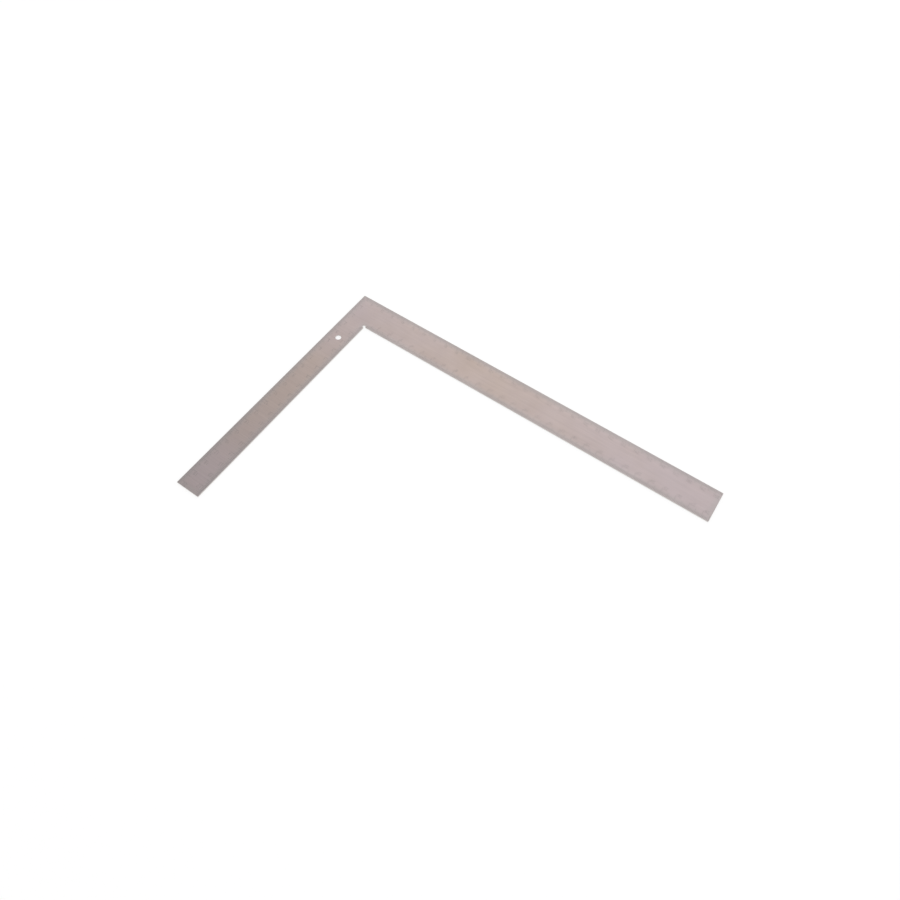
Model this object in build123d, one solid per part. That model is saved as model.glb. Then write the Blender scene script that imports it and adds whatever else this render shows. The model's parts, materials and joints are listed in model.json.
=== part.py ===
from build123d import *
import os

# A flat steel square for marking out leather. The heel, where its two outer edges meet, is the
# origin, on the face that lies down. The blade runs along +Y and the tongue along +X, and the
# metric face looks up, so the inch face is underneath. Everything is in millimetres.

os.makedirs("parts", exist_ok=True)

# Driving dimensions of the plate, each leg measured over the heel
INCH = 25.4
BLADE_LENGTH = 12 * INCH
TONGUE_LENGTH = 8 * INCH
BLADE_WIDTH = 1 * INCH
TONGUE_WIDTH = 0.75 * INCH
THICKNESS = 1.0

# Edges and cut-outs
CORNER_RADIUS = 0.4
EDGE_BREAK = 0.1
RELIEF_RADIUS = 1.2
RELIEF_SETBACK = 0.2
HOLE_RADIUS = 2.2
HOLE_FROM_HEEL = 45.0

# Etched marks. Each rule gives the distance between marks, then the lengths that the marks take
# in turn. The last one in turn is the centimetre or the inch.
MARK_WIDTH = 0.15
MARK_DEPTH = 0.08
OVERRUN = 1.0
MARKING_RULES = {
    "front": (5.0, (4.0, 6.0)),
    "back": (INCH / 4, (3.5, 4.5, 3.5, 6.0)),
}

# The four scales of a face: where each starts along its leg, the line of its edge across the
# leg, and the way in from that edge. Outer scales count from the heel, inner ones from the
# inside corner.
SCALES = {
    ("blade", "outer"): (0, 0, 1),
    ("blade", "inner"): (TONGUE_WIDTH, BLADE_WIDTH, -1),
    ("tongue", "outer"): (0, 0, 1),
    ("tongue", "inner"): (BLADE_WIDTH, TONGUE_WIDTH, -1),
}
LEG_LENGTHS = {"blade": BLADE_LENGTH, "tongue": TONGUE_LENGTH}


def square_outline():
    """The L seen from above: two legs that share the heel, with a relief and a hanging hole."""
    from_heel = (Align.MIN, Align.MIN)
    blade = Rectangle(BLADE_WIDTH, BLADE_LENGTH, align=from_heel)
    tongue = Rectangle(TONGUE_LENGTH, TONGUE_WIDTH, align=from_heel)
    legs = blade + tongue

    inside_corner = Vector(BLADE_WIDTH, TONGUE_WIDTH)
    outside_corners = legs.vertices().sort_by_distance(inside_corner)[1:]
    outline = fillet(outside_corners, CORNER_RADIUS)

    # The relief keeps the inside corner open, so that a sharp corner seats against both legs.
    relief = Pos(BLADE_WIDTH - RELIEF_SETBACK, TONGUE_WIDTH - RELIEF_SETBACK) * Circle(RELIEF_RADIUS)
    hole = Pos(HOLE_FROM_HEEL, TONGUE_WIDTH / 2) * Circle(HOLE_RADIUS)
    return outline - relief - hole


def blank_plate():
    """The cut plate before it is marked, with a fine break on every edge of both faces."""
    plate = extrude(square_outline(), THICKNESS)
    faces = plate.faces().sort_by(Axis.Z)
    return chamfer(faces[0].edges() + faces[-1].edges(), EDGE_BREAK)


def mark_plan(leg, edge, distance, length):
    """One mark seen from above: a bar square to its edge, which overruns that edge to cut it."""
    start, edge_line, inward = SCALES[leg, edge]
    along = start + distance
    middle = edge_line + inward * (length - OVERRUN) / 2
    if leg == "blade":
        return Pos(middle, along) * Rectangle(length + OVERRUN, MARK_WIDTH)
    return Pos(along, middle) * Rectangle(MARK_WIDTH, length + OVERRUN)


def scale_cutters(face, leg, edge):
    """The blocks that cut one scale's grooves into one face, up to the end of its leg."""
    pitch, lengths = MARKING_RULES[face]
    start = SCALES[leg, edge][0]
    count = int((LEG_LENGTHS[leg] - start - MARK_WIDTH) // pitch)
    plans = [mark_plan(leg, edge, n * pitch, lengths[(n - 1) % len(lengths)]) for n in range(1, count + 1)]
    groove_floor = THICKNESS - MARK_DEPTH if face == "front" else 0
    return Pos(0, 0, groove_floor) * extrude(Sketch() + plans, MARK_DEPTH)


# The marks are cut scale by scale. What a cutter shares with the blank is the compound that
# fills its grooves: level with the face, and down to the broken edge where a groove runs out.
blank = blank_plate()
steel_square = blank
fills = {}
for face in MARKING_RULES:
    for leg, edge in SCALES:
        cutters = scale_cutters(face, leg, edge)
        steel_square = steel_square - cutters
        fills[f"{face}_{leg}_{edge}_scale"] = cutters & blank

export_step(steel_square, "parts/steel_square.step")
print("steel_square", round(steel_square.volume, 1), "mm3")
for name, fill in fills.items():
    export_step(fill, f"parts/{name}.step")
    print(name, len(fill.solids()), "marks")
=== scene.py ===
# %% [markdown]
# # A steel square for marking out leather
# The tool is one L of thin sheet steel: a long leg, the blade, and a short one, the tongue. Scales
# are etched along all four edges, centimetres on the side that looks up and inches underneath.
# The plate and its longer marks come from the CAD model as a fixed frame. This lesson dresses
# them: it gives them their finish, adds the finest marks and the numerals, and lights the whole
# like a shop photograph. Everything is in metres, in the frame's own place.

# %% Load the frame
import json
import math

import bpy
from mathutils import Matrix, Vector

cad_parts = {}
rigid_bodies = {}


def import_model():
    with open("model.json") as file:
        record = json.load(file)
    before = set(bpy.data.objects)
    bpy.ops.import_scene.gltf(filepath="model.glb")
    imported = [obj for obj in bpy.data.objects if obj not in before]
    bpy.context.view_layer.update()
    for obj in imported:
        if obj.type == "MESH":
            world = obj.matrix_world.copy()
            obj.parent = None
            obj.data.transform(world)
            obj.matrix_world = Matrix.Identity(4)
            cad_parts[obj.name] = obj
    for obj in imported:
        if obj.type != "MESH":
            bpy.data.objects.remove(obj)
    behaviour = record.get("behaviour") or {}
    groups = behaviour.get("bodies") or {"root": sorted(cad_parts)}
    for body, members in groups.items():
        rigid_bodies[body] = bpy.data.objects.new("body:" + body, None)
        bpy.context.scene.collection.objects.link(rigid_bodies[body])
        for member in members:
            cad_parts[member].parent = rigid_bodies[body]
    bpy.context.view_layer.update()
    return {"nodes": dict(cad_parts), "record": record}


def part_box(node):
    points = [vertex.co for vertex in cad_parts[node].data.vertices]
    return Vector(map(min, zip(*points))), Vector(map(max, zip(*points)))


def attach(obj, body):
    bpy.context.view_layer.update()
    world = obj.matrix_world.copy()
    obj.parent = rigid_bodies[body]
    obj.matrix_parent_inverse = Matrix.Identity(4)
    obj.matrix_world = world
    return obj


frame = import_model()
print("CAD nodes:", sorted(frame["nodes"]))

# %% [markdown]
# ## The sizes that everything hangs on
# A square is only useful if its marks are true, so no length of the plate is typed again. The
# length of each leg and the thickness are the box of the plate. The widths of the legs are where
# the record says that their inner edges are. What can't be read there is how far the fine break of
# the edges reaches in, so that one number is repeated here.

# %% Read the plate
MM = 0.001
INCH = 25.4 * MM
EDGE_BREAK = 0.1 * MM

plate_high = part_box("steel_square")[1]
mounts = {mount["name"]: Vector(mount["pos_m"]) for mount in frame["record"]["mounts"]}
blade_length = plate_high.y
tongue_length = plate_high.x
thickness = plate_high.z
blade_width = mounts["blade_inner_edge"].x
tongue_width = mounts["tongue_inner_edge"].y
print("blade", round(blade_length / MM, 2), "x", round(blade_width / MM, 2), "mm")
print("tongue", round(tongue_length / MM, 2), "x", round(tongue_width / MM, 2), "mm")
print("thickness", round(thickness / MM, 2), "mm")

# %% [markdown]
# ## The camera
# The view comes first, because everything after it is judged through it. The square lies flat and
# is seen from above the open side of the L, about sixty degrees up, so that the heel points away.
# A camera can be placed by eye, but here its place was worked out: the true sizes of the L and
# where its six corners fall in the picture leave room for only one place, aim and lens.
# A camera that is aimed with a track rotation keeps its sides level, so the small lean of the
# picture is added as a turn about the line of sight.
# An object is a place, and what it shows there is its data. A new object isn't in the scene until
# it is linked to it, so one small function makes an object and links it.

# %% A helper that puts an object in the scene
def add_object(name, data):
    """An object of this name that shows this data, linked into the scene."""
    made = bpy.data.objects.new(name, data)
    bpy.context.scene.collection.objects.link(made)
    return made


print("objects so far:", len(bpy.context.scene.collection.all_objects))

# %% Place the camera
PICTURE_SIDE = 900
SENSOR_WIDTH = 36.0
LENS = 28.02
CAMERA_PLACE = Vector((0.2858, 0.2651, 0.4181))
CAMERA_AIM = Vector((0.0776, 0.1346, 0.0))
CAMERA_LEAN = math.radians(2.63)

camera_data = bpy.data.cameras.new("picture_camera")
camera_data.sensor_width = SENSOR_WIDTH
camera_data.lens = LENS
camera = add_object("picture_camera", camera_data)
level_turn = (CAMERA_AIM - CAMERA_PLACE).to_track_quat("-Z", "Y").to_matrix().to_4x4()
lean = Matrix.Rotation(CAMERA_LEAN, 4, "Z")
camera.matrix_world = Matrix.Translation(CAMERA_PLACE) @ level_turn @ lean
bpy.context.scene.camera = camera

focal_pixels = LENS / SENSOR_WIDTH * PICTURE_SIDE
outline_corners = {
    "heel": Vector((0, 0, thickness)),
    "end of the blade": Vector((0, blade_length, thickness)),
    "inside corner": Vector((blade_width, tongue_width, 0)),
    "end of the tongue": Vector((tongue_length, 0, thickness)),
}
for name, corner in outline_corners.items():
    seen = camera.matrix_world.inverted() @ corner
    across = PICTURE_SIDE / 2 - focal_pixels * seen.x / seen.z
    down = PICTURE_SIDE / 2 + focal_pixels * seen.y / seen.z
    print(name, "is seen at pixel", round(across, 1), round(down, 1))

# %% [markdown]
# ## Colour and nodes
# Three small helpers serve all that follows. Colours are picked as sRGB hex values, as on a
# screen, while a shader reckons in linear light, so one function turns the first into the second.
# Every node tree, of a material or of geometry, is made of the same few acts: add a node, set it,
# feed it. One function does them all. An input is fed a plain value, or the output of another node.
# Where a node is named without one of its outputs, it is the first output in use that is meant.
# The last one starts a material, with the nodes that a new one comes with cleared away.

# %% Three helpers
def linear(hex_colour):
    """The linear RGBA of an sRGB colour such as '#BFB0AB'."""
    channels = [int(hex_colour[i:i + 2], 16) / 255 for i in (1, 3, 5)]
    return [c / 12.92 if c <= 0.04045 else ((c + 0.055) / 1.055) ** 2.4 for c in channels] + [1.0]


def add_node(tree, kind, feeds=None, **settings):
    """Adds a node, sets its properties, and feeds its inputs a value, an output or a node."""
    node = tree.nodes.new(kind)
    for name, value in settings.items():
        setattr(node, name, value)
    for key, feed in (feeds or {}).items():
        if isinstance(feed, bpy.types.Node):
            feed = next(output for output in feed.outputs if output.enabled)
        if isinstance(feed, bpy.types.NodeSocket):
            tree.links.new(feed, node.inputs[key])
        else:
            node.inputs[key].default_value = feed
    return node


def new_material(name):
    """A material of this name whose node tree is still empty."""
    material = bpy.data.materials.new(name)
    material.use_nodes = True
    material.node_tree.nodes.clear()
    return material


print("a mid grey in linear light:", [round(c, 3) for c in linear("#808080")])

# %% [markdown]
# ## Floor
# The tool lies on a plain sheet of card, and in the picture that ground is blank white. White card
# still renders a little grey, and more lamps would bleach the steel as well. So the card is a pale
# grey that also glows, but only for rays that come from the camera, off something glossy or through
# something clear. The glow lights nothing, and because the card's own shading stays under it, the
# tool keeps a light shadow.

# %% Mix the card
CARD_FIBRE = 1.5 * MM
CARD_DARK = "#9B9B9B"
CARD_LIGHT = "#A0A0A0"
CARD_GLOW = 0.72

card = new_material("pale_card")
tree = card.node_tree
place = add_node(tree, "ShaderNodeTexCoord").outputs["Object"]
fibre = add_node(tree, "ShaderNodeTexNoise", {"Vector": place, "Scale": 1 / CARD_FIBRE})
tones = {0: fibre, 6: linear(CARD_DARK), 7: linear(CARD_LIGHT)}
tone = add_node(tree, "ShaderNodeMix", tones, data_type="RGBA")
matt = add_node(tree, "ShaderNodeBsdfDiffuse", {"Color": tone})
ray = add_node(tree, "ShaderNodeLightPath").outputs
camera_or_glossy = {0: ray["Is Camera Ray"], 1: ray["Is Glossy Ray"]}
shown = add_node(tree, "ShaderNodeMath", camera_or_glossy, operation="MAXIMUM")
or_through = {0: shown, 1: ray["Is Transmission Ray"]}
shown = add_node(tree, "ShaderNodeMath", or_through, operation="MAXIMUM")
strength = add_node(tree, "ShaderNodeMath", {0: shown, 1: CARD_GLOW}, operation="MULTIPLY")
glow = add_node(tree, "ShaderNodeEmission", {"Strength": strength})
both = add_node(tree, "ShaderNodeAddShader", {0: matt, 1: glow})
add_node(tree, "ShaderNodeOutputMaterial", {"Surface": both})
print("card nodes:", len(tree.nodes))

# %% [markdown]
# The sheet is far larger than the tool, so that no view from low down looks past its end. It lies
# a hair under the steel, because two surfaces in the very same plane would flicker through each
# other.

# %% Lay the card
FLOOR_HALF = 30.0
FLOOR_GAP = 0.02 * MM

quarters = ((-1, -1), (1, -1), (1, 1), (-1, 1))
floor_corners = [(x * FLOOR_HALF, y * FLOOR_HALF, -FLOOR_GAP) for x, y in quarters]
floor_mesh = bpy.data.meshes.new("card_floor")
floor_mesh.from_pydata(floor_corners, [], [(0, 1, 2, 3)])
floor_mesh.materials.append(card)
floor = add_object("card_floor", floor_mesh)
print("floor", 2 * FLOOR_HALF, "m square,", FLOOR_GAP / MM, "mm under the steel")

# %% [markdown]
# ## Light
# Satin steel shows what is round it, softly. The room is a white wall all round, which a low
# camera sees behind the tool, under a dimmer ceiling, which is what the flat of the steel
# reflects into the picture. Only the height of a direction matters, so the room needs no walls of
# its own: the world blends from one strength to the other by how far up a ray looks. The view is
# set to Standard, so that white comes out white and every colour as it was picked.

# %% Paint the room
WALL_STRENGTH = 1.0
CEILING_STRENGTH = 0.655
CEILING_STARTS = 0.42
CEILING_FULL = 0.62

world = bpy.data.worlds.new("white_room")
world.use_nodes = True
bpy.context.scene.world = world
tree = world.node_tree
tree.nodes.clear()
direction = add_node(tree, "ShaderNodeTexCoord").outputs["Generated"]
height = add_node(tree, "ShaderNodeSeparateXYZ", {0: direction}).outputs["Z"]
strength = add_node(tree, "ShaderNodeMapRange", {
    "Value": height,
    "From Min": CEILING_STARTS,
    "From Max": CEILING_FULL,
    "To Min": WALL_STRENGTH,
    "To Max": CEILING_STRENGTH,
}, interpolation_type="SMOOTHSTEP")
room = add_node(tree, "ShaderNodeBackground", {"Color": (1, 1, 1, 1), "Strength": strength})
add_node(tree, "ShaderNodeOutputWorld", {"Surface": room})
bpy.context.scene.view_settings.view_transform = "Standard"
print("the room dims from", WALL_STRENGTH, "at the walls to", CEILING_STRENGTH, "overhead")

# %% [markdown]
# One large soft lamp hangs beyond the tool, opposite the camera and a little to the right. The
# blade mirrors it and the end of the tongue looks past it, which is why the tongue is the darker
# leg. It is an area lamp, because only a broad source gives satin steel a broad, quiet sheen
# instead of a hot spot.

# %% Hang the lamp
LAMP_DIRECTION = Vector((-0.75, -0.11, 0.6)).normalized()
LAMP_DISTANCE = 1.6
LAMP_SIZE = (2.0, 1.9)
LAMP_WATTS = 6.8

lamp_data = bpy.data.lights.new("soft_lamp", "AREA")
lamp_data.shape = "RECTANGLE"
lamp_data.size, lamp_data.size_y = LAMP_SIZE
lamp_data.energy = LAMP_WATTS
lamp = add_object("soft_lamp", lamp_data)
plate_middle = Vector((tongue_length / 2, blade_length / 2, 0))
lamp_place = plate_middle + LAMP_DIRECTION * LAMP_DISTANCE
aim_turn = (-LAMP_DIRECTION).to_track_quat("-Z", "Y").to_matrix().to_4x4()
lamp.matrix_world = Matrix.Translation(lamp_place) @ aim_turn
print("lamp", LAMP_SIZE, "m,", LAMP_WATTS, "W, from", [round(c, 2) for c in LAMP_DIRECTION])

# %% [markdown]
# ## Finish of the plate: satin cold-rolled steel
# Sheet comes off the mill with a faint grain along the way that it was rolled, and a fine belt
# leaves straight hair lines over it. To the eye that is a soft, broad sheen with streaks along the
# blade, never a mirror. Handling adds clouds of tone, and smudges, which change the roughness.
# Hair lines, streaks, clouds and smudges are all noise, stretched to the width and length that each
# has on the real sheet. The Mapping node does that in its Texture mode, where Scale is the real
# size of one grain.
# The true hair lines are about 0.05 mm wide, far finer than a pixel. They are drawn at 0.3 mm, as
# coarse as they need to be to show, together with the wider streaks that they gather into.

# %% Stretch noise into grain
HAIR_LINE = 0.3 * MM
HAIR_LENGTH = 25 * MM
STREAK = 2.2 * MM
STREAK_LENGTH = 120 * MM
CLOUD = 28 * MM
SMUDGE = 16 * MM

steel = new_material("satin_rolled_steel")
tree = steel.node_tree
place = add_node(tree, "ShaderNodeTexCoord").outputs["Object"]
grain = {}
for name, width, length, detail, seed in (
    ("hair lines", HAIR_LINE, HAIR_LENGTH, 3.0, 0.0),
    ("streaks", STREAK, STREAK_LENGTH, 2.0, 0.3),
    ("clouds", CLOUD, CLOUD, 2.0, 0.7),
    ("smudges", SMUDGE, SMUDGE, 4.0, 1.1),
):
    stretched = add_node(tree, "ShaderNodeMapping", {
        "Vector": place,
        "Location": (seed, seed, 0),
        "Scale": (width, length, width),
    }, vector_type="TEXTURE")
    feeds = {"Vector": stretched, "Scale": 1.0, "Detail": detail}
    grain[name] = add_node(tree, "ShaderNodeTexNoise", feeds)
    print(name, "are", round(width / MM, 2), "mm wide and", round(length / MM, 2), "mm long")

# %% [markdown]
# Scratches are thin, few, and run at their own slants. A cell pattern scatters one point to each
# cell, and what lies very near to a point is a tiny disc. In coordinates that are squeezed two
# hundred to one, that disc is a long stroke with fine tapered ends. One layer has one slant, so
# there are three. Every cell also has a random shade, which makes some strokes deep and most faint,
# and a slow noise bends the coordinates a little, because no hand scratches a ruler dead straight.

# %% Add scratches that stray from the grain
SCRATCH_HALF_WIDTH = 0.07 * MM
SCRATCH_HALF_LENGTH = 14 * MM
SCRATCH_SPACING = 2.0 * MM
SLANTS_AND_SEEDS = ((14, 0.21), (-23, 0.29), (4, 0.37))
FAINTEST_SHADE = 0.3
DEEPEST_SHADE = 0.8
BEND_OVER = 60 * MM
BEND_BY = 2.0 * MM

reach = SCRATCH_HALF_WIDTH / SCRATCH_SPACING
cell_length = SCRATCH_HALF_LENGTH / reach
slow_noise = add_node(tree, "ShaderNodeTexNoise", {
    "Vector": place,
    "Scale": 1 / BEND_OVER,
    "Detail": 0.0,
}).outputs["Color"]
pushed = {0: slow_noise, 1: (BEND_BY,) * 3, 2: place}
bent_place = add_node(tree, "ShaderNodeVectorMath", pushed, operation="MULTIPLY_ADD")
scratches = 0.0
for slant, seed in SLANTS_AND_SEEDS:
    squeezed = add_node(tree, "ShaderNodeMapping", {
        "Vector": bent_place,
        "Location": (seed, seed, 0),
        "Rotation": (0, 0, math.radians(slant)),
        "Scale": (SCRATCH_SPACING, cell_length, SCRATCH_SPACING),
    }, vector_type="TEXTURE")
    feeds = {"Vector": squeezed, "Scale": 1.0}
    cell = add_node(tree, "ShaderNodeTexVoronoi", feeds, voronoi_dimensions="2D").outputs
    near = {"Value": cell["Distance"], "From Max": reach, "To Min": 1, "To Max": 0}
    stroke = add_node(tree, "ShaderNodeMapRange", near)
    shades = {"Value": cell["Color"], "From Min": FAINTEST_SHADE, "From Max": DEEPEST_SHADE}
    shade = add_node(tree, "ShaderNodeMapRange", shades)
    kept = add_node(tree, "ShaderNodeMath", {0: stroke, 1: shade}, operation="MULTIPLY")
    scratches = add_node(tree, "ShaderNodeMath", {0: scratches, 1: kept}, operation="MAXIMUM")
area_of_one = SCRATCH_SPACING * cell_length / len(SLANTS_AND_SEEDS)
print("one scratch to every", round(area_of_one / MM ** 2), "square mm")

# %% [markdown]
# The plate is one mesh, so the finish has to know a face from an edge by itself. The true normal
# says it: it points straight up or down on the two faces, sideways on the edges, and at 45 degrees
# on the broken edge between them. The edges are ground along their length, so their lines lie one
# above the other, packed closer than the grain of the faces.

# %% Tell the faces from the edges
EDGE_LINE = 0.12 * MM
FLATTER_THAN = 0.95
STEEPER_THAN = 0.35

true_normal = add_node(tree, "ShaderNodeNewGeometry").outputs["True Normal"]
height = add_node(tree, "ShaderNodeSeparateXYZ", {0: true_normal}).outputs["Z"]
upright = add_node(tree, "ShaderNodeMath", {0: height}, operation="ABSOLUTE")
on_edge = add_node(tree, "ShaderNodeMath", {0: upright, 1: STEEPER_THAN}, operation="LESS_THAN")
on_face = add_node(tree, "ShaderNodeMath", {0: upright, 1: FLATTER_THAN}, operation="GREATER_THAN")
edge_place = add_node(tree, "ShaderNodeMapping", {
    "Vector": place,
    "Scale": (1 / HAIR_LENGTH, 1 / HAIR_LENGTH, 1 / EDGE_LINE),
})
edge_lines = add_node(tree, "ShaderNodeTexNoise", {"Vector": edge_place, "Scale": 1.0})
print("edge lines", EDGE_LINE / MM, "mm wide,", round(thickness / EDGE_LINE), "to the edge")

# %% [markdown]
# Knives and cloths run along the edges and rub the bloom off there. So the finish has to know how
# far off the nearest edge is, and in an L that is the least of a few ways. From the heel to a spot,
# X and Y are the ways to the two outer edges. From the spot to the far corner of the whole box,
# they are the ways to the two ends. The inner edges bound the open quarter beyond the inside
# corner, so what counts there is the way to that quarter. Where a spot already lies beside it, one
# of the two parts of this way is below nought, and is cut off before the length is taken.

# %% Measure the way to the nearest edge
RUBBED_BARE = 0.5 * MM
BLOOM_WHOLE = 5.5 * MM

to_far = {0: (tongue_length, blade_length, 0), 1: place}
to_far = add_node(tree, "ShaderNodeVectorMath", to_far, operation="SUBTRACT")
nearer = add_node(tree, "ShaderNodeVectorMath", {0: place, 1: to_far}, operation="MINIMUM")
nearer = add_node(tree, "ShaderNodeSeparateXYZ", {0: nearer}).outputs
to_outer = add_node(tree, "ShaderNodeMath", {0: nearer["X"], 1: nearer["Y"]}, operation="MINIMUM")
to_open = {0: (blade_width, tongue_width, 0), 1: place}
to_open = add_node(tree, "ShaderNodeVectorMath", to_open, operation="SUBTRACT")
to_open = add_node(tree, "ShaderNodeVectorMath", {0: to_open, 1: (0, 0, 0)}, operation="MAXIMUM")
to_inner = add_node(tree, "ShaderNodeVectorMath", {0: to_open}, operation="LENGTH")
to_edge = add_node(tree, "ShaderNodeMath", {0: to_outer, 1: to_inner}, operation="MINIMUM")
rubbed = add_node(tree, "ShaderNodeMapRange", {
    "Value": to_edge,
    "From Min": RUBBED_BARE,
    "From Max": BLOOM_WHOLE,
    "To Min": 1.0,
    "To Max": 0.0,
}, interpolation_type="SMOOTHSTEP")
print("rubbed bare for", RUBBED_BARE / MM, "mm, the bloom is whole from", BLOOM_WHOLE / MM, "mm on")

# %% [markdown]
# Old steel takes on a faint brown bloom where hands hold it. In the picture both legs are warmest
# about 110 mm from the heel, where a hand spans them, and cooler at the heel and the ends. So each
# leg has a warm spot that fades with the distance from its middle, over a longer way on the longer
# leg. The colour of the faces runs from a cool grey to a warm one by these spots and the clouds,
# and near the edges it gives way to the plainer grey of rubbed steel. Hair lines and streaks only
# lighten and darken it, so they are laid over it in Overlay, which leaves a colour as it is
# wherever the pattern is mid grey.

# %% Colour the faces
BLADE_BLOOM = (13 * MM, 115 * MM, 0)
BLADE_BLOOM_REACH = 165 * MM
TONGUE_BLOOM = (105 * MM, 10 * MM, 0)
TONGUE_BLOOM_REACH = 95 * MM
BLOOM_ADDS = 0.75
COOLEST = -0.35
CLOUDS_ADD = 0.7
STREAKS_SHOW = 0.03
HAIR_LINES_SHOW = 0.15
SCRATCHES_SHOW = 0.6
COOL_STEEL = "#B9ACAD"
WARM_STEEL = "#B6A69D"
RUBBED_STEEL = "#B0A9A8"
RUBBING_SHOWS = 0.65
BARE_SCRATCH = "#D2C6C0"

cloudy = {0: grain["clouds"], 1: CLOUDS_ADD, 2: COOLEST}
warmth = add_node(tree, "ShaderNodeMath", cloudy, operation="MULTIPLY_ADD")
for middle, fades_over in ((BLADE_BLOOM, BLADE_BLOOM_REACH), (TONGUE_BLOOM, TONGUE_BLOOM_REACH)):
    away = add_node(tree, "ShaderNodeVectorMath", {0: place, 1: middle}, operation="DISTANCE")
    bloom = add_node(tree, "ShaderNodeMapRange", {
        "Value": away,
        "From Max": fades_over,
        "To Min": BLOOM_ADDS,
        "To Max": 0.0,
    }, interpolation_type="SMOOTHSTEP")
    warmth = add_node(tree, "ShaderNodeMath", {0: warmth, 1: bloom}, use_clamp=True)
tones = {0: warmth, 6: linear(COOL_STEEL), 7: linear(WARM_STEEL)}
tone = add_node(tree, "ShaderNodeMix", tones, data_type="RGBA")
rubbed_share = add_node(tree, "ShaderNodeMath", {0: rubbed, 1: RUBBING_SHOWS}, operation="MULTIPLY")
rubbed_tones = {0: rubbed_share, 6: tone, 7: linear(RUBBED_STEEL)}
tone = add_node(tree, "ShaderNodeMix", rubbed_tones, data_type="RGBA")
for share, pattern in ((STREAKS_SHOW, "streaks"), (HAIR_LINES_SHOW, "hair lines")):
    lines = {0: share, 6: tone, 7: grain[pattern]}
    tone = add_node(tree, "ShaderNodeMix", lines, data_type="RGBA", blend_type="OVERLAY")
depth = {0: scratches, 1: SCRATCHES_SHOW}
scratch_share = add_node(tree, "ShaderNodeMath", depth, operation="MULTIPLY")
scratched = {0: scratch_share, 6: tone, 7: linear(BARE_SCRATCH)}
face_colour = add_node(tree, "ShaderNodeMix", scratched, data_type="RGBA")
print("faces run from", COOL_STEEL, "to", WARM_STEEL)

# %% [markdown]
# The edges are brighter and greyer than the faces. Partly that is real, because they were ground
# last and the bloom is rubbed off them, and partly it is painted highlight, which lifts the thin
# side walls out of the shade that they mirror and gives the broken edge a bright rim. What the eye
# calls satin is in the roughness, so the smudges and hair lines work there. The relief is only a
# few thousandths of a millimetre: hair lines on the faces, grinding lines on the edges, and the
# scratches cut into both.

# %% Sheen and relief of the steel
# The two edge colours and the broken edge's colour are paler than ground steel alone: part of that
# is painted highlight.
EDGE_DARK = "#CBC4C1"
EDGE_LIGHT = "#DAD4D2"
BROKEN_EDGE_WITH_HIGHLIGHT = "#CBC4C0"
CLEAN_ROUGHNESS = 0.33
SMUDGED_ROUGHNESS = 0.41
SMUDGES_START = 0.35
SMUDGES_FULL = 0.7
LINES_ROUGHEN = 0.08
SCRATCHES_CUT = -0.6
RELIEF_STRENGTH = 0.35
RELIEF_HEIGHT = 0.006 * MM

# The side walls and the broken edge take their paler colours here, partly ground steel and partly
# painted highlight.
edge_tones = {0: edge_lines, 6: linear(EDGE_DARK), 7: linear(EDGE_LIGHT)}
edge_colour_with_painted_highlight = add_node(tree, "ShaderNodeMix", edge_tones, data_type="RGBA")
faces_and_break = {0: on_face, 6: linear(BROKEN_EDGE_WITH_HIGHLIGHT), 7: face_colour}
colour = add_node(tree, "ShaderNodeMix", faces_and_break, data_type="RGBA")
colour = add_node(tree, "ShaderNodeMix", {0: on_edge, 6: colour, 7: edge_colour_with_painted_highlight}, data_type="RGBA")
smudged = add_node(tree, "ShaderNodeMapRange", {
    "Value": grain["smudges"],
    "From Min": SMUDGES_START,
    "From Max": SMUDGES_FULL,
    "To Min": CLEAN_ROUGHNESS,
    "To Max": SMUDGED_ROUGHNESS,
})
lined = {0: grain["hair lines"], 1: LINES_ROUGHEN, 2: smudged}
roughness = add_node(tree, "ShaderNodeMath", lined, operation="MULTIPLY_ADD")
relief = add_node(tree, "ShaderNodeMix", {0: on_edge, 2: grain["hair lines"], 3: edge_lines})
cut = {0: scratches, 1: SCRATCHES_CUT, 2: relief}
relief = add_node(tree, "ShaderNodeMath", cut, operation="MULTIPLY_ADD")
bump = add_node(tree, "ShaderNodeBump", {
    "Strength": RELIEF_STRENGTH,
    "Distance": RELIEF_HEIGHT,
    "Height": relief,
})
shader = add_node(tree, "ShaderNodeBsdfPrincipled", {
    "Base Color": colour,
    "Metallic": 1.0,
    "Roughness": roughness,
    "Normal": bump,
})
add_node(tree, "ShaderNodeOutputMaterial", {"Surface": shader})
print("steel nodes:", len(tree.nodes))

# %% [markdown]
# ## Finish of the marks: a thin matt etching compound
# The marks are etched grooves that a dark compound was wiped into. It is matt, so it mirrors
# nothing, and it has been rubbed thin by years of knives and cloths: in the picture the numerals
# are only a little darker than the steel. So its grey is pale, it varies from one stretch of a
# scale to the next, and it has a fine speckle where single grains have come out.

# %% Mix the mark compound
WEAR_STRETCH = 22 * MM
COMPOUND_GRAIN = 0.25 * MM
COMPOUND_DARK = "#74706F"
COMPOUND_WORN = "#8E8886"
WEAR_DETAIL = 3.0
GRAIN_DETAIL = 1.0
SPECKLES_SHOW = 0.25
COMPOUND_IOR = 1.5
SMOOTHEST = 0.62
ROUGHEST = 0.8
PITS_SHOW = 0.3
PIT_DEPTH = 0.01 * MM

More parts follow.
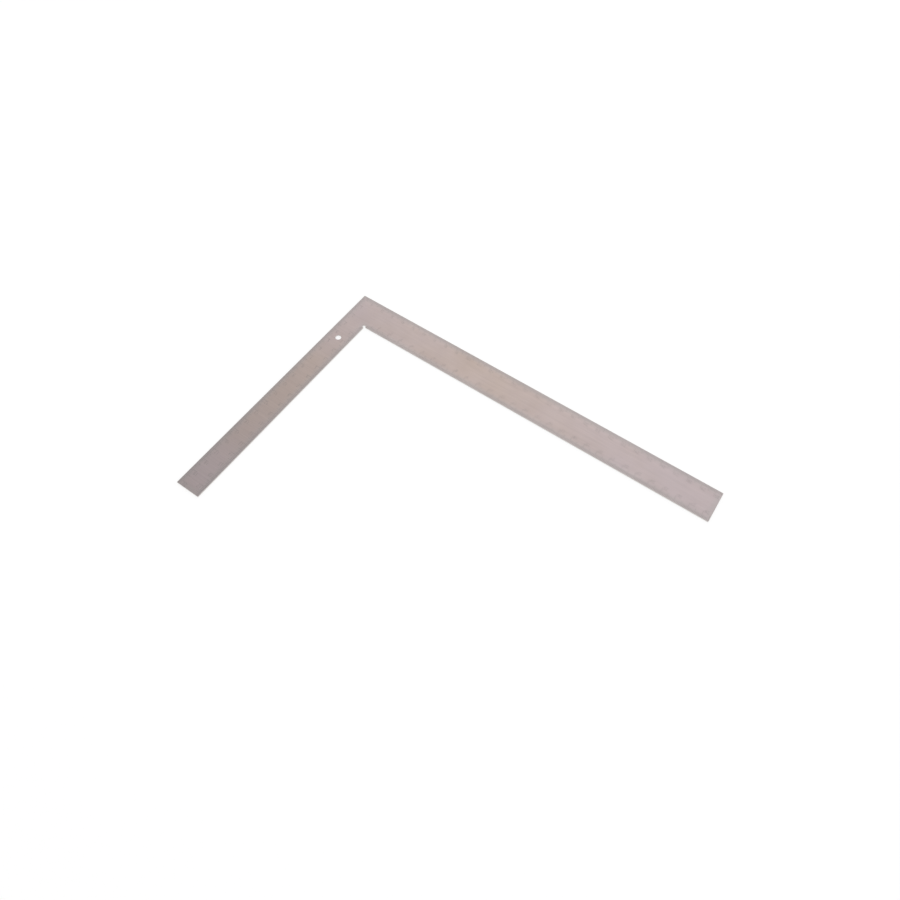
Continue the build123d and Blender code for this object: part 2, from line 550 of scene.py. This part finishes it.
mark_fill = new_material("worn_etching_compound")
tree = mark_fill.node_tree
place = add_node(tree, "ShaderNodeTexCoord").outputs["Object"]
stretches = {"Vector": place, "Scale": 1 / WEAR_STRETCH, "Detail": WEAR_DETAIL}
wear = add_node(tree, "ShaderNodeTexNoise", stretches)
grains = {"Vector": place, "Scale": 1 / COMPOUND_GRAIN, "Detail": GRAIN_DETAIL}
speckle = add_node(tree, "ShaderNodeTexNoise", grains)
tones = {0: wear, 6: linear(COMPOUND_DARK), 7: linear(COMPOUND_WORN)}
tone = add_node(tree, "ShaderNodeMix", tones, data_type="RGBA")
speckled = {0: SPECKLES_SHOW, 6: tone, 7: speckle.outputs["Color"]}
tone = add_node(tree, "ShaderNodeMix", speckled, data_type="RGBA", blend_type="SOFT_LIGHT")
matt_range = {"Value": speckle, "To Min": SMOOTHEST, "To Max": ROUGHEST}
matt_roughness = add_node(tree, "ShaderNodeMapRange", matt_range)
pitted = {"Strength": PITS_SHOW, "Distance": PIT_DEPTH, "Height": speckle}
pits = add_node(tree, "ShaderNodeBump", pitted)
shader = add_node(tree, "ShaderNodeBsdfPrincipled", {
    "Base Color": tone,
    "Roughness": matt_roughness,
    "Normal": pits,
    "IOR": COMPOUND_IOR,
})
add_node(tree, "ShaderNodeOutputMaterial", {"Surface": shader})
print("mark compound nodes:", len(tree.nodes))

# %% [markdown]
# ## Dress the carried-over nodes
# The plate and the eight sets of longer marks are already the right shape, so they stay where
# they are and only their material slots change.

# %% Dress the plate and the longer marks
for name, node in frame["nodes"].items():
    finish = steel if name == "steel_square" else mark_fill
    for slot in node.material_slots:
        slot.material = finish
    print(name, "wears", finish.name)

# %% [markdown]
# ## Where the scales lie
# There are four scales on each side. The outer ones count from the heel and the inner ones from
# the inside corner, so each is described by where its zero is, which way it runs, which way is in
# from its edge, and how long it is. The finest marks and the numerals are both made from this one
# list.

# %% Describe the four scales
ALONG_BLADE = Vector((0, 1, 0))
ALONG_TONGUE = Vector((1, 0, 0))

heel = Vector((0, 0, 0))
inside_corner = Vector((blade_width, tongue_width, 0))
inner_blade = blade_length - tongue_width
inner_tongue = tongue_length - blade_width
scales = {
    "blade_outer": (heel, ALONG_BLADE, ALONG_TONGUE, blade_length),
    "blade_inner": (inside_corner, ALONG_BLADE, -ALONG_TONGUE, inner_blade),
    "tongue_outer": (heel, ALONG_TONGUE, ALONG_BLADE, tongue_length),
    "tongue_inner": (inside_corner, ALONG_TONGUE, -ALONG_BLADE, inner_tongue),
}
for name, (zero, along, inward, length) in scales.items():
    print(name, "is", round(length / MM, 1), "mm long")

# %% [markdown]
# ## The finest marks, by Geometry Nodes
# The CAD model cuts the marks at five millimetres and more, and at quarter inches. Between them
# stand the millimetres on one side, and the eighths and sixteenths of an inch on the other: over
# a thousand small bars. An array modifier could repeat a bar, but couldn't leave out every fifth
# one. A node tree can, and it is told its sizes through named inputs, so that one tree serves
# all eight scales.

# %% Name the inputs of the finest marks
def new_tree(name, inputs):
    """An empty geometry tree with named inputs and one geometry output."""
    made = bpy.data.node_groups.new(name, "GeometryNodeTree")
    made.interface.new_socket("Geometry", in_out="OUTPUT", socket_type="NodeSocketGeometry")
    for input_name, kind in inputs.items():
        made.interface.new_socket(input_name, in_out="INPUT", socket_type="NodeSocket" + kind)
    print(name, "has the inputs", ", ".join(inputs))
    return made


fine_marks = new_tree("fine_marks", {
    "Zero": "Vector",
    "Along": "Vector",
    "Inward": "Vector",
    "Step": "Float",
    "Count": "Int",
    "Left out first": "Int",
    "Left out every": "Int",
    "Longer every": "Int",
    "Length": "Float",
    "Longer length": "Float",
    "Width": "Float",
    "Height": "Float",
    "Gap at the edge": "Float",
    "Heel gap": "Float",
    "Material": "Material",
})

# %% [markdown]
# The tree starts with a row of points, one for each fine step along the edge. Which of them get a
# bar is one remainder: the number of each mark is divided by how many fine steps a longer mark
# takes, and where nothing is left over the bar is not made. The same trick gives every second bar
# its longer reach. At the inside corner the relief takes the place of the first millimetre mark
# of both scales, so that one is left out.

# %% Set out the row and choose from it
tree = fine_marks
given = add_node(tree, "NodeGroupInput").outputs
along_by = {0: given["Along"], "Scale": given["Step"]}
step = add_node(tree, "ShaderNodeVectorMath", along_by, operation="SCALE")
first = add_node(tree, "ShaderNodeVectorMath", {0: given["Zero"], 1: step})
line = {"Count": given["Count"], "Start Location": first, "Offset": step}
row = add_node(tree, "GeometryNodeMeshLine", line)
index = add_node(tree, "GeometryNodeInputIndex")
number = add_node(tree, "FunctionNodeIntegerMath", {0: index, 1: 1})

left_over = {0: number, 1: given["Left out every"]}
left_over = add_node(tree, "FunctionNodeIntegerMath", left_over, operation="MODULO")
some_left = {2: left_over, 3: 0}
is_short = add_node(tree, "FunctionNodeCompare", some_left, data_type="INT", operation="NOT_EQUAL")
late = {2: number, 3: given["Left out first"]}
is_late = add_node(tree, "FunctionNodeCompare", late, data_type="INT", operation="GREATER_THAN")
is_made = add_node(tree, "FunctionNodeBooleanMath", {0: is_short, 1: is_late}, operation="AND")

left_over = {0: number, 1: given["Longer every"]}
left_over = add_node(tree, "FunctionNodeIntegerMath", left_over, operation="MODULO")
none_left = {2: left_over, 3: 0}
is_longer = add_node(tree, "FunctionNodeCompare", none_left, data_type="INT", operation="EQUAL")
lengths = {0: is_longer, 1: given["Length"], 2: given["Longer length"]}
wanted = add_node(tree, "GeometryNodeSwitch", lengths, input_type="FLOAT")
print("nodes that choose the marks:", len(tree.nodes))

# %% [markdown]
# Near the heel two scales meet, so a bar there is never longer than its own distance from the
# heel, less a gap. At the edge every bar stops where the broken edge begins. Between these two
# ends lies the middle of the bar, and that is where its point is moved.

# %% Fit each bar in its place
distance = {0: number, 1: given["Step"]}
distance = add_node(tree, "ShaderNodeMath", distance, operation="MULTIPLY")
free = {0: distance, 1: given["Heel gap"]}
free = add_node(tree, "ShaderNodeMath", free, operation="SUBTRACT")
reach = add_node(tree, "ShaderNodeMath", {0: wanted, 1: free}, operation="MINIMUM")
ends = {0: reach, 1: given["Gap at the edge"]}
bar_length = add_node(tree, "ShaderNodeMath", ends, operation="SUBTRACT")
both_ends = add_node(tree, "ShaderNodeMath", ends)
to_middle = add_node(tree, "ShaderNodeMath", {0: both_ends, 1: 0.5}, operation="MULTIPLY")
inward_by = {0: given["Inward"], "Scale": to_middle}
moved_in = add_node(tree, "ShaderNodeVectorMath", inward_by, operation="SCALE")
middles = add_node(tree, "GeometryNodeSetPosition", {"Geometry": row, "Offset": moved_in})
print("with those that place them:", len(tree.nodes))

# %% [markdown]
# One unit cube is the pattern of every bar. Its size is put together from three directions: as
# long as the bar in the way in from the edge, as wide as the mark along the leg, and its height.

# %% Stretch one cube to every bar
inward_by = {0: given["Inward"], "Scale": bar_length}
inward_size = add_node(tree, "ShaderNodeVectorMath", inward_by, operation="SCALE")
along_by = {0: given["Along"], "Scale": given["Width"]}
along_size = add_node(tree, "ShaderNodeVectorMath", along_by, operation="SCALE")
upward_size = add_node(tree, "ShaderNodeCombineXYZ", {"Z": given["Height"]})
flat_size = add_node(tree, "ShaderNodeVectorMath", {0: inward_size, 1: along_size})
whole_size = add_node(tree, "ShaderNodeVectorMath", {0: flat_size, 1: upward_size})
bar_size = add_node(tree, "ShaderNodeVectorMath", {0: whole_size}, operation="ABSOLUTE")
cube = add_node(tree, "GeometryNodeMeshCube", {"Size": (1, 1, 1)})
bars = add_node(tree, "GeometryNodeInstanceOnPoints", {
    "Points": middles,
    "Selection": is_made,
    "Instance": cube,
    "Scale": bar_size,
})
plain = add_node(tree, "GeometryNodeRealizeInstances", {0: bars})
coating = {"Geometry": plain, "Material": given["Material"]}
coated = add_node(tree, "GeometryNodeSetMaterial", coating)
add_node(tree, "NodeGroupOutput", {0: coated})
print("and all nodes of the finest marks:", len(tree.nodes))

# %% [markdown]
# ## From a tree to a plain piece
# A node tree is a live recipe, but the finished tool should be plain meshes that anything can
# read. So each tree runs once on an empty mesh, the result is copied out as a mesh of its own,
# and the recipe's holder is removed. Two checks are printed: with no open edge every little prism
# is closed, and with a signed volume above nought the faces point outwards.

# %% A helper that runs a tree and keeps its mesh
import bmesh


def grow(name, tree, values):
    """Runs a geometry tree with these input values and keeps the result as a plain mesh piece."""
    holder = add_object(name + "_recipe", bpy.data.meshes.new(name + "_recipe"))
    modifier = holder.modifiers.new("recipe", "NODES")
    modifier.node_group = tree
    for socket in tree.interface.items_tree:
        if socket.in_out == "INPUT":
            modifier[socket.identifier] = values[socket.name]
    graph = bpy.context.evaluated_depsgraph_get()
    mesh = bpy.data.meshes.new_from_object(holder.evaluated_get(graph))
    bpy.data.objects.remove(holder)
    mesh.name = name
    piece = add_object(name, mesh)
    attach(piece, "root")
    measured = bmesh.new()
    measured.from_mesh(mesh)
    volume = measured.calc_volume(signed=True) / MM ** 3
    open_edges = sum(not edge.is_manifold for edge in measured.edges)
    print(name, len(mesh.polygons), "faces,", round(volume, 3), "mm3,", open_edges, "open edges")
    measured.free()


print("ready to grow pieces from the tree", fine_marks.name)

# %% [markdown]
# ## Grow the finest marks
# A millimetre bar and a sixteenth differ in length, but both are as wide as the marks of the CAD
# model, 0.15 mm. They are sunk into the steel, and their tops stand four thousandths of a
# millimetre above it, because two surfaces in one plane would fight over which of them is seen.
# Underneath, the same bar is mirrored, and one inch has sixteen steps, of which every fourth is a
# CAD mark.
# The table of the two sides gives, in this order: how high the middle of a bar lies, the fine
# step, how many steps it is to a CAD mark and how many to a longer bar, and the short length.

# %% Grow the finest marks on both sides
MARK_SUNK = 0.03 * MM
MARK_PROUD = 0.004 * MM
FINE_WIDTH = 0.15 * MM
FINE_LENGTH = 2.5 * MM
SIXTEENTH_LENGTH = 1.8 * MM
CLEAR_OF_END = 0.5 * MM
HEEL_GAP = 0.3 * MM
RELIEF_REACH = 1.3 * MM
NO_LIMIT = -1.0

bar_height = MARK_SUNK + MARK_PROUD
bar_middle = (MARK_PROUD - MARK_SUNK) / 2
faces = {
    "front": (thickness + bar_middle, 1 * MM, 5, 1, FINE_LENGTH),
    "back": (-bar_middle, INCH / 16, 4, 2, SIXTEENTH_LENGTH),
}
for face, (middle_height, fine_step, left_out, longer, short_length) in faces.items():
    for scale, (zero, along, inward, length) in scales.items():
        starts_in_relief = scale.endswith("inner") and fine_step < RELIEF_REACH
        grow(f"{face}_{scale}_fine_marks", fine_marks, {
            "Zero": zero + Vector((0, 0, middle_height)),
            "Along": along,
            "Inward": inward,
            "Step": fine_step,
            "Count": int((length - CLEAR_OF_END) / fine_step),
            "Left out first": 1 if starts_in_relief else 0,
            "Left out every": left_out,
            "Longer every": longer,
            "Length": short_length,
            "Longer length": FINE_LENGTH,
            "Width": FINE_WIDTH,
            "Height": bar_height,
            "Gap at the edge": EDGE_BREAK,
            "Heel gap": HEEL_GAP if scale.endswith("outer") else NO_LIMIT,
            "Material": mark_fill,
        })

# %% [markdown]
# ## Numerals
# Every centimetre and every inch has its number. All of them stand the same way up, with their
# feet towards the outer edge of the blade, so on the blade they read along the leg and on the
# tongue across it. They could be typed as text objects, but there are well over a hundred, and a
# tree that counts can't make a slip. It walks along the centimetre or inch lines, turns the number
# of each into outlines, and builds that number there.
# The built-in font is a plain one, like the punches for such tools, with a bare stroke for a one.
# Its outlines are curves, and a few points to each curve are plenty for such small numbers.

# %% Walk along the lines and draw each number
OUTLINE_POINTS = 3

numerals = new_tree("numerals", {
    "First": "Vector",
    "Step": "Vector",
    "Count": "Int",
    "Font size": "Float",
    "Squeeze": "Vector",
    "Thin by": "Float",
    "Shortest step": "Float",
    "Anchor": "Float",
    "Turn": "Vector",
    "Sunk": "Float",
    "Height": "Float",
    "Material": "Material",
})
tree = numerals
given = add_node(tree, "NodeGroupInput").outputs
line = {"Count": given["Count"], "Start Location": given["First"], "Offset": given["Step"]}
row = add_node(tree, "GeometryNodeMeshLine", line)
place = add_node(tree, "GeometryNodeInputPosition")
walk = add_node(tree, "GeometryNodeForeachGeometryElementInput")
walked = add_node(tree, "GeometryNodeForeachGeometryElementOutput", domain="POINT")
walk.pair_with_output(walked)
walked.input_items.new("VECTOR", "Place")
tree.links.new(row.outputs[0], walk.inputs["Geometry"])
tree.links.new(place.outputs[0], walk.inputs["Place"])
number = add_node(tree, "FunctionNodeIntegerMath", {0: walk.outputs["Index"], 1: 1})
digits = add_node(tree, "FunctionNodeValueToString", {0: number}, data_type="INT")
writing = {"String": digits, "Size": given["Font size"]}
outlines = add_node(tree, "GeometryNodeStringToCurves", writing, align_y="BOTTOM_BASELINE")
loose = add_node(tree, "GeometryNodeRealizeInstances", {0: outlines})
few_points = {0: loose, "Resolution": OUTLINE_POINTS}
coarse = add_node(tree, "GeometryNodeSetSplineResolution", few_points)
squeezed = add_node(tree, "GeometryNodeTransform", {0: coarse, "Scale": given["Squeeze"]})
print("nodes that draw the numbers:", len(tree.nodes))

# %% [markdown]
# The strokes of the font are heavier than etched ones, so each outline is drawn in by a hair: a
# step sideways from the way that the outline runs, which goes into the ink on both sides of a
# stroke. At a corner that way lies halfway between the two sides that meet there, and a plain step
# would draw both in by too little and leave a "1" bolder than a "0". So the step is divided by the
# cosine of half the turn, which is the dot product of the halfway direction and the next side's.
# The foot of the "2" has a step in its outline that is shorter than the hair, and would turn
# inside out, so points that lie so close together are merged first.
# A flat outline can be filled, but it has no thickness. The filled shape is pushed up for the top
# and the sides, and a flipped copy of it closes the bottom.

# %% Thin, fill and thicken each number
SAME_POINT = 0.0005 * MM

loops = add_node(tree, "GeometryNodeCurveToMesh", {0: squeezed})
near_points = {"Geometry": loops, "Distance": given["Shortest step"]}
merged = add_node(tree, "GeometryNodeMergeByDistance", near_points)
even_outlines = add_node(tree, "GeometryNodeMeshToCurve", {"Mesh": merged})
running = add_node(tree, "GeometryNodeInputTangent")
sideways = {0: (0, 0, 1), 1: running}
into_ink = add_node(tree, "ShaderNodeVectorMath", sideways, operation="CROSS_PRODUCT")
here = add_node(tree, "GeometryNodeInputPosition")
next_point = add_node(tree, "GeometryNodeOffsetPointInCurve", {"Offset": 1}).outputs["Point Index"]
at_next = {"Index": next_point, "Value": here}
ahead = add_node(tree, "GeometryNodeFieldAtIndex", at_next, data_type="FLOAT_VECTOR")
to_next = add_node(tree, "ShaderNodeVectorMath", {0: ahead, 1: here}, operation="SUBTRACT")
to_next = add_node(tree, "ShaderNodeVectorMath", {0: to_next}, operation="NORMALIZE")
agreeing = {0: running, 1: to_next}
half_turn = add_node(tree, "ShaderNodeVectorMath", agreeing, operation="DOT_PRODUCT")
stepping = {0: given["Thin by"], 1: half_turn}
hair = add_node(tree, "ShaderNodeMath", stepping, operation="DIVIDE")
inset = add_node(tree, "ShaderNodeVectorMath", {0: into_ink, "Scale": hair}, operation="SCALE")
thinned = add_node(tree, "GeometryNodeSetPosition", {"Geometry": even_outlines, "Offset": inset})
filled = add_node(tree, "GeometryNodeFillCurve", {0: thinned})
upward = add_node(tree, "ShaderNodeCombineXYZ", {"Z": given["Height"]})
pushed_up = {"Mesh": filled, "Offset": upward, "Individual": False}
raised = add_node(tree, "GeometryNodeExtrudeMesh", pushed_up)
bottom = add_node(tree, "GeometryNodeFlipFaces", {0: filled})
shell = add_node(tree, "GeometryNodeJoinGeometry")
tree.links.new(raised.outputs["Mesh"], shell.inputs[0])
tree.links.new(bottom.outputs[0], shell.inputs[0])
seams = {"Geometry": shell, "Distance": SAME_POINT}
closed = add_node(tree, "GeometryNodeMergeByDistance", seams)
print("with those that thicken them:", len(tree.nodes))

# %% [markdown]
# Where the number is put is settled by its own box, so that a "1" and a "28" stand equally far
# from their lines. The anchor says which point of that box is laid on the spot: 0 is its left
# side, 1 its right side and 0.5 its middle.

# %% Stand each number on its place
box = add_node(tree, "GeometryNodeBoundBox", {0: closed}).outputs
left = add_node(tree, "ShaderNodeSeparateXYZ", {0: box["Min"]}).outputs["X"]
right = add_node(tree, "ShaderNodeSeparateXYZ", {0: box["Max"]}).outputs["X"]
anchor = add_node(tree, "ShaderNodeMix", {0: given["Anchor"], 2: left, 3: right})
to_anchor = add_node(tree, "ShaderNodeMath", {0: anchor, 1: -1}, operation="MULTIPLY")
downward = add_node(tree, "ShaderNodeMath", {0: given["Sunk"], 1: -1}, operation="MULTIPLY")
seat = add_node(tree, "ShaderNodeCombineXYZ", {"X": to_anchor, "Z": downward})
seated = add_node(tree, "GeometryNodeTransform", {0: closed, "Translation": seat})
turn = add_node(tree, "FunctionNodeEulerToRotation", {0: given["Turn"]})
there = {0: seated, "Rotation": turn, "Translation": walk.outputs["Place"]}
placed = add_node(tree, "GeometryNodeTransform", there)
tree.links.new(placed.outputs[0], walked.inputs["Geometry"])
plain = add_node(tree, "GeometryNodeRealizeInstances", {0: walked.outputs[2]})
coating = {"Geometry": plain, "Material": given["Material"]}
coated = add_node(tree, "GeometryNodeSetMaterial", coating)
add_node(tree, "NodeGroupOutput", {0: coated})
print("and all nodes of the numerals:", len(tree.nodes))

# %% [markdown]
# ## Where the numerals stand
# On the blade a number stands beside its line, and the end of it that is nearer to the line keeps
# the same gap all along. On the tongue it stands on its line like a word on a ruled page. How far
# in from the edge the middle of each row lies is its depth. A number is left out where the leg ends
# before there is room for it.
# A digit of this font is 0.682 of the font size high. Squeezed a little, its upright strokes are
# 0.32 mm wide, and drawn in by 0.087 mm from both sides they are as wide as the marks, 0.15 mm.
# That also takes the digits down to 2.33 mm.
# Underneath, the tool is read with the other side up, so there the numbers are turned over. The
# table of the two sides gives, in this order: the height of the surface, the way from one number
# to the next, the turn, and which end of a number on the blade is the nearer one.

# %% Grow the numerals on both sides
NUMERAL_HEIGHT = 2.5 * MM
FONT_DIGIT_HEIGHT = 0.682
SQUEEZE = 0.9
THIN_BY = 0.087 * MM
SHORTEST_STEP = 0.03 * MM
BESIDE_LINE = 0.8 * MM
ABOVE_LINE = 0.35 * MM
ROOM_ON_BLADE = 4.3 * MM
ROOM_ON_TONGUE = 3.1 * MM
UP = Vector((1, 0, 0))

depths = {"blade_outer": 5.0, "blade_inner": 6.0, "tongue_outer": 5.5, "tongue_inner": 5.0}
numeral_faces = {
    "front": (thickness, 10 * MM, (0, 0, math.radians(-90)), 1.0),
    "back": (0, INCH, (math.radians(180), 0, math.radians(90)), 0.0),
}
for face, (surface, numeral_step, turn, near_end) in numeral_faces.items():
    for scale, (zero, along, inward, length) in scales.items():
        if scale.startswith("blade"):
            first = along * (numeral_step + BESIDE_LINE) - UP * NUMERAL_HEIGHT / 2
            room = ROOM_ON_BLADE
            anchor = near_end
        else:
            first = along * (numeral_step + ABOVE_LINE)
            room = ROOM_ON_TONGUE
            anchor = 0.5
        grow(f"{face}_{scale}_numerals", numerals, {
            "First": zero + first + inward * depths[scale] * MM + Vector((0, 0, surface)),
            "Step": along * numeral_step,
            "Count": int((length - room) / numeral_step),
            "Font size": NUMERAL_HEIGHT / FONT_DIGIT_HEIGHT,
            "Squeeze": (SQUEEZE, 1.0, 1.0),
            "Thin by": THIN_BY,
            "Shortest step": SHORTEST_STEP,
            "Anchor": anchor,
            "Turn": turn,
            "Sunk": MARK_SUNK,
            "Height": bar_height,
            "Material": mark_fill,
        })
